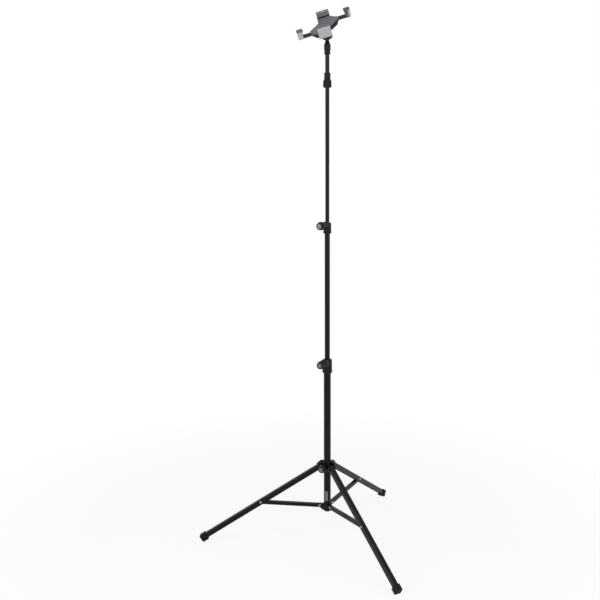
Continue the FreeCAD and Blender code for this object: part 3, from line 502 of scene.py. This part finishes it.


# Bare label on the main tube, with nothing printed on it. The label is light grey; its darker grey colour is
# painted shade.
tubeLabel = {"radius": 0.01106, "low": 0.1386, "high": 0.1707, "from": -49.0, "to": 10.0,
             "thick": 0.00014, "sides": 120, "smoothTo": 30.0}


def makeTubeLabel():
    clearSelection()
    height = tubeLabel["high"] - tubeLabel["low"]
    bpy.ops.mesh.primitive_cylinder_add(vertices=tubeLabel["sides"], radius=tubeLabel["radius"],
                                        depth=height, end_fill_type="NOTHING")
    label = bpy.context.object

    def outside(center, normal):
        angle = math.degrees(math.atan2(normal.x, -normal.y))
        return not tubeLabel["from"] <= angle <= tubeLabel["to"]

    pickFaces(label, outside)
    bpy.ops.mesh.delete(type="FACE")
    bpy.ops.object.mode_set(mode="OBJECT")
    solid = label.modifiers.new("thickness", "SOLIDIFY")
    solid.thickness = tubeLabel["thick"]
    solid.offset = 1.0
    bpy.ops.object.modifier_apply(modifier=solid.name)
    bpy.ops.object.shade_smooth_by_angle(angle=math.radians(tubeLabel["smoothTo"]))
    place = Matrix.Translation((mastX, 0, (tubeLabel["low"] + tubeLabel["high"]) / 2))
    placePiece(label, "tubeLabel", place, "blankLabelPaintedShade", "black_paint", "base")


makeTubeLabel()
print("tripod and mast details made")


# Grey ribbed rails low on the housing's slanted sides, in the phone clamp's own frame
sideRail = {"start": (0.0145, -0.015), "end": (0.045, 0.012), "from": 0.1, "to": 0.8,
            "low": -0.0158, "high": -0.0098, "out": 0.0009, "deep": 0.0014, "edge": 0.0004,
            "ribs": 11, "ribWidth": 0.0009, "ribOut": 0.0005, "ribInset": 0.0008}


def makeSideRails():
    start, end = Vector(sideRail["start"]), Vector(sideRail["end"])
    along = end - start
    turn = math.atan2(along.y, along.x)
    low, high = sideRail["from"] * along.length, sideRail["to"] * along.length
    rail = addBox((low, -sideRail["out"], sideRail["low"]),
                  (high, sideRail["deep"], sideRail["high"]))
    softenEdges(rail, sideRail["edge"])
    step = (high - low) / sideRail["ribs"]
    first, half = low + step / 2, sideRail["ribWidth"] / 2
    rib = addBox((first - half, -sideRail["out"] - sideRail["ribOut"],
                  sideRail["low"] + sideRail["ribInset"]),
                 (first + half, 0, sideRail["high"] - sideRail["ribInset"]))
    softenEdges(rib, sideRail["ribWidth"] / 4)
    repeatAlong(rib, sideRail["ribs"], (step, 0, 0))
    slanted = Matrix.Translation((*start, 0)) @ Matrix.Rotation(turn, 4, "Z")
    for piece, name in ((rail, "sideRail"), (rib, "railRibs")):
        placeCopies(piece, [(f"{name}Right", headPlace @ slanted, "phone_clamp"),
                            (f"{name}Left", headPlace @ halfTurn @ slanted, "phone_clamp")],
                    "railMoulding", "dark_housing")


makeSideRails()


# Ribs on the rubber that holds the phone, and along the foot of each jaw pad a black strip that is painted shadow
# of the gap between jaw and plate
gripRibs = {"face": -0.066, "out": 0.0006, "near": -0.0226, "far": -0.0122, "first": -0.0008,
            "pitch": 0.0026, "count": 5, "width": 0.0011, "edge": 0.00035}
padRibs = {"face": -0.0418, "out": 0.0006, "left": -0.0215, "right": 0.0115, "first": 0.0014,
           "pitch": 0.0036, "count": 3, "width": 0.0014, "edge": 0.00035}
# Black strip low on each jaw pad: painted shadow of the gap between the jaw and the plate
padShadowStrip = {"left": -0.0215, "right": 0.0115, "face": -0.0418, "out": 0.0008, "low": -0.0068,
           "high": -0.0002, "edge": 0.0003}


def makeGripRibs():
    half = gripRibs["width"] / 2
    rib = addBox((gripRibs["face"] - letIn, gripRibs["near"], gripRibs["first"] - half),
                 (gripRibs["face"] + gripRibs["out"], gripRibs["far"], gripRibs["first"] + half))
    softenEdges(rib, gripRibs["edge"])
    repeatAlong(rib, gripRibs["count"], (0, 0, gripRibs["pitch"]))
    placeCopies(rib, [("leftGripRibs", headPlace, "left_claw"),
                      ("rightGripRibs", headPlace @ halfTurn, "right_claw")],
                "gripRubber", "grip_rubber")


def makePadRibs():
    half = padRibs["width"] / 2
    rib = addBox((padRibs["left"], padRibs["face"] - letIn, padRibs["first"] - half),
                 (padRibs["right"], padRibs["face"] + padRibs["out"], padRibs["first"] + half))
    softenEdges(rib, padRibs["edge"])
    repeatAlong(rib, padRibs["count"], (0, 0, padRibs["pitch"]))
    placeCopies(rib, [("nearPadRibs", headPlace, "near_jaw"),
                      ("farPadRibs", headPlace @ halfTurn, "far_jaw")],
                "padRubber", "grip_rubber")


# Puts the black strip of painted shadow low on both jaw pads
def makePadShadowStrips():
    foot = addBox((padShadowStrip["left"], padShadowStrip["face"] - letIn, padShadowStrip["low"]),
                  (padShadowStrip["right"], padShadowStrip["face"] + padShadowStrip["out"], padShadowStrip["high"]))
    softenEdges(foot, padShadowStrip["edge"])
    placeCopies(foot, [("nearPadFoot", headPlace, "near_jaw"),
                       ("farPadShadowStrip", headPlace @ halfTurn, "far_jaw")],
                "blackRubber", "black_rubber")


# Thin webs that close the two slots in the near jaw's lip, just below its top
lipWeb = {"middles": (-0.01425, 0.00425), "half": 0.00452, "from": -0.0418, "to": -0.03848,
          "low": 0.0145, "high": 0.0163, "edge": 0.0001}


def makeLipWebs():
    web = addBox((-lipWeb["half"], lipWeb["from"], lipWeb["low"]),
                 (lipWeb["half"], lipWeb["to"], lipWeb["high"]))
    softenEdges(web, lipWeb["edge"])
    rows = [(f"nearLipWeb{number}", headPlace @ Matrix.Translation((middle, 0, 0)), "near_jaw")
            for number, middle in enumerate(lipWeb["middles"], 1)]
    placeCopies(web, rows, "lightMoulding", "light_moulding")


makeGripRibs()
makePadRibs()
makePadShadowStrips()
makeLipWebs()


# Slate cheeks beside the arms' roots, which carry on along the housing's slanted ends
armCheek = {"outerEnd": -0.0435, "corner": -0.036, "side": -0.02595, "inside": -0.025,
            "low": -0.006, "high": -0.0029, "slant": (0.0036, -0.00266, 0), "edge": 0.0002}


def makeArmCheeks():
    cheek = addBox((armCheek["outerEnd"], armCheek["side"], armCheek["low"]),
                   (armCheek["corner"], armCheek["inside"], armCheek["high"]))
    pickFaces(cheek, lambda center, normal: normal.x > facing)
    bpy.ops.mesh.extrude_region_move(TRANSFORM_OT_translate={"value": armCheek["slant"]})
    bpy.ops.object.mode_set(mode="OBJECT")
    softenEdges(cheek, armCheek["edge"])
    placeCopies(cheek, [("armCheekLeft", headPlace, "phone_clamp"),
                        ("armCheekRight", headPlace @ halfTurn, "phone_clamp")],
                "slateMoulding", "slate_plate")


makeArmCheeks()


# Pan heads with a cross recess for the housing's screws
screwHead = {"radius": 0.0026, "height": 0.0014, "middle": -0.0166, "edge": 0.0006,
             "edgeSteps": 3, "sides": 32,
             "slotLong": 0.0032, "slotWide": 0.0007, "slotDeep": 0.0008,
             "places": ((0.024, 0.005), (-0.017, -0.031), (-0.024, -0.005), (0.017, 0.031))}


def makeScrewHeads():
    clearSelection()
    bpy.ops.mesh.primitive_cylinder_add(vertices=screwHead["sides"], radius=screwHead["radius"],
                                        depth=screwHead["height"])
    head = bpy.context.object
    softenEdges(head, screwHead["edge"], screwHead["edgeSteps"])
    for turn in (0, math.pi / 2):
        clearSelection()
        bpy.ops.mesh.primitive_cube_add(size=1.0, location=(0, 0, -screwHead["height"] / 2),
                                        rotation=(0, 0, turn))
        cutter = bpy.context.object
        cutter.scale = (screwHead["slotLong"], screwHead["slotWide"], 2 * screwHead["slotDeep"])
        bpy.ops.object.transform_apply(location=True, rotation=True, scale=True)
        clearSelection()
        head.select_set(True)
        bpy.context.view_layer.objects.active = head
        recess = head.modifiers.new("recess", "BOOLEAN")
        recess.operation = "DIFFERENCE"
        recess.object = cutter
        bpy.ops.object.modifier_apply(modifier=recess.name)
        bpy.data.objects.remove(cutter)
    rows = []
    for number, (u, v) in enumerate(screwHead["places"], 1):
        at = Matrix.Translation((u, v, screwHead["middle"]))
        rows.append((f"housingScrewHead{number}", headPlace @ at, "phone_clamp"))
    placeCopies(head, rows, "blackSteel", "dark_steel")
    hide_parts("housing_screws")


makeScrewHeads()
print("phone clamp details made")


# Stage, lights and camera

# The floor glows for the camera, less within clearRadius of the middle, to keep the shadow
floorValues = {"size": 60.0, "drop": 0.0002, "color": (0.94, 0.94, 0.94, 1),
               "clearRadius": 0.7, "fadeRadius": 1.3, "glow": 0.86}
pureWhite = (1, 1, 1, 1)


def addMath(tree, operation, first, second):
    node = tree.nodes.new("ShaderNodeMath")
    node.operation = operation
    tree.links.new(first, node.inputs[0])
    tree.links.new(second, node.inputs[1])
    return node.outputs["Value"]


def addSeenRay(tree):
    rays = tree.nodes.new("ShaderNodeLightPath").outputs
    seen = addMath(tree, "MAXIMUM", rays["Is Camera Ray"], rays["Is Glossy Ray"])
    return addMath(tree, "MAXIMUM", seen, rays["Is Transmission Ray"])


def linkMix(tree, factor, first, second, output):
    mix = tree.nodes.new("ShaderNodeMixShader")
    tree.links.new(factor, mix.inputs["Fac"])
    tree.links.new(first, mix.inputs[1])
    tree.links.new(second, mix.inputs[2])
    tree.links.new(mix.outputs["Shader"], output.inputs["Surface"])


def makeFloor():
    clearSelection()
    bpy.ops.mesh.primitive_plane_add(size=floorValues["size"],
                                     location=(0, 0, -floorValues["drop"]))
    floor = bpy.context.object
    floor.name = "studioFloor"
    bpy.ops.object.transform_apply(location=True, rotation=True, scale=True)
    material = bpy.data.materials.new("paleFloor")
    material.use_nodes = True
    tree = material.node_tree
    tree.nodes.clear()
    output = tree.nodes.new("ShaderNodeOutputMaterial")
    diffuse = tree.nodes.new("ShaderNodeBsdfDiffuse")
    diffuse.inputs["Color"].default_value = floorValues["color"]
    white = tree.nodes.new("ShaderNodeEmission")
    white.inputs["Color"].default_value = pureWhite
    white.inputs["Strength"].default_value = 1.0
    coordinates = tree.nodes.new("ShaderNodeTexCoord")
    length = tree.nodes.new("ShaderNodeVectorMath")
    length.operation = "LENGTH"
    fade = tree.nodes.new("ShaderNodeMapRange")
    fade.inputs["From Min"].default_value = floorValues["clearRadius"]
    fade.inputs["From Max"].default_value = floorValues["fadeRadius"]
    fade.inputs["To Min"].default_value = floorValues["glow"]
    fade.inputs["To Max"].default_value = 1.0
    tree.links.new(coordinates.outputs["Object"], length.inputs[0])
    tree.links.new(length.outputs["Value"], fade.inputs["Value"])
    factor = addMath(tree, "MULTIPLY", addSeenRay(tree), fade.outputs["Result"])
    linkMix(tree, factor, diffuse.outputs["BSDF"], white.outputs["Emission"], output)
    floor.data.materials.append(material)


worldValues = {"lightStrength": 0.42, "lightColor": (0.95, 0.97, 1.0, 1)}


def makeWorld():
    world = bpy.data.worlds.new("studioWorld")
    bpy.context.scene.world = world
    world.use_nodes = True
    tree = world.node_tree
    tree.nodes.clear()
    output = tree.nodes.new("ShaderNodeOutputWorld")
    lit = tree.nodes.new("ShaderNodeBackground")
    lit.inputs["Color"].default_value = worldValues["lightColor"]
    lit.inputs["Strength"].default_value = worldValues["lightStrength"]
    white = tree.nodes.new("ShaderNodeBackground")
    white.inputs["Color"].default_value = pureWhite
    white.inputs["Strength"].default_value = 1.0
    linkMix(tree, addSeenRay(tree), lit.outputs["Background"], white.outputs["Background"],
            output)


# Place, aim, size across, size up and power of each soft light
lamps = {
    "leftBox": {"at": (-1.9, -1.7, 1.7), "aim": (0.1, 0, 0.8), "width": 0.8, "height": 2.4,
                "watts": 25.0},
    "rightBox": {"at": (2.1, -1.6, 1.5), "aim": (0.1, 0, 0.8), "width": 0.7, "height": 2.4,
                 "watts": 20.0},
    "topBox": {"at": (0.1, -0.9, 3.4), "aim": (0.1, 0, 0.6), "width": 1.6, "height": 1.6,
               "watts": 13.0},
    "frontBox": {"at": (0.05, -3.3, 1.78), "aim": (0.1, 0, 1.5), "width": 1.8, "height": 0.5,
                 "watts": 15.0},
}


def makeLamps():
    for name, values in lamps.items():
        data = bpy.data.lights.new(name, "AREA")
        data.shape = "RECTANGLE"
        data.size = values["width"]
        data.size_y = values["height"]
        data.energy = values["watts"]
        lamp = bpy.data.objects.new(name, data)
        bpy.context.scene.collection.objects.link(lamp)
        lamp.location = values["at"]
        look = Vector(values["aim"]) - Vector(values["at"])
        lamp.rotation_euler = look.to_track_quat("-Z", "Y").to_euler()


cameraValues = {"orbit": -0.5, "distance": 2.894, "height": 1.42, "pitch": 12.118, "lens": 58.46,
                "sensor": 36.0, "reach": 100.0, "shiftX": -0.0455, "shiftY": -0.0057}


def makeCamera():
    data = bpy.data.cameras.new("standCamera")
    camera = bpy.data.objects.new("standCamera", data)
    bpy.context.scene.collection.objects.link(camera)
    data.sensor_width = cameraValues["sensor"]
    data.lens = cameraValues["lens"]
    data.shift_x = cameraValues["shiftX"]
    data.shift_y = cameraValues["shiftY"]
    data.clip_end = cameraValues["reach"]
    orbit = math.radians(cameraValues["orbit"])
    camera.location = (mastX + cameraValues["distance"] * math.sin(orbit),
                       -cameraValues["distance"] * math.cos(orbit), cameraValues["height"])
    camera.rotation_euler = (math.radians(90 - cameraValues["pitch"]), 0, orbit)
    bpy.context.scene.camera = camera


makeFloor()
makeWorld()
makeLamps()
makeCamera()
bpy.context.scene.view_settings.view_transform = "Standard"
print("stage, lights and camera ready")
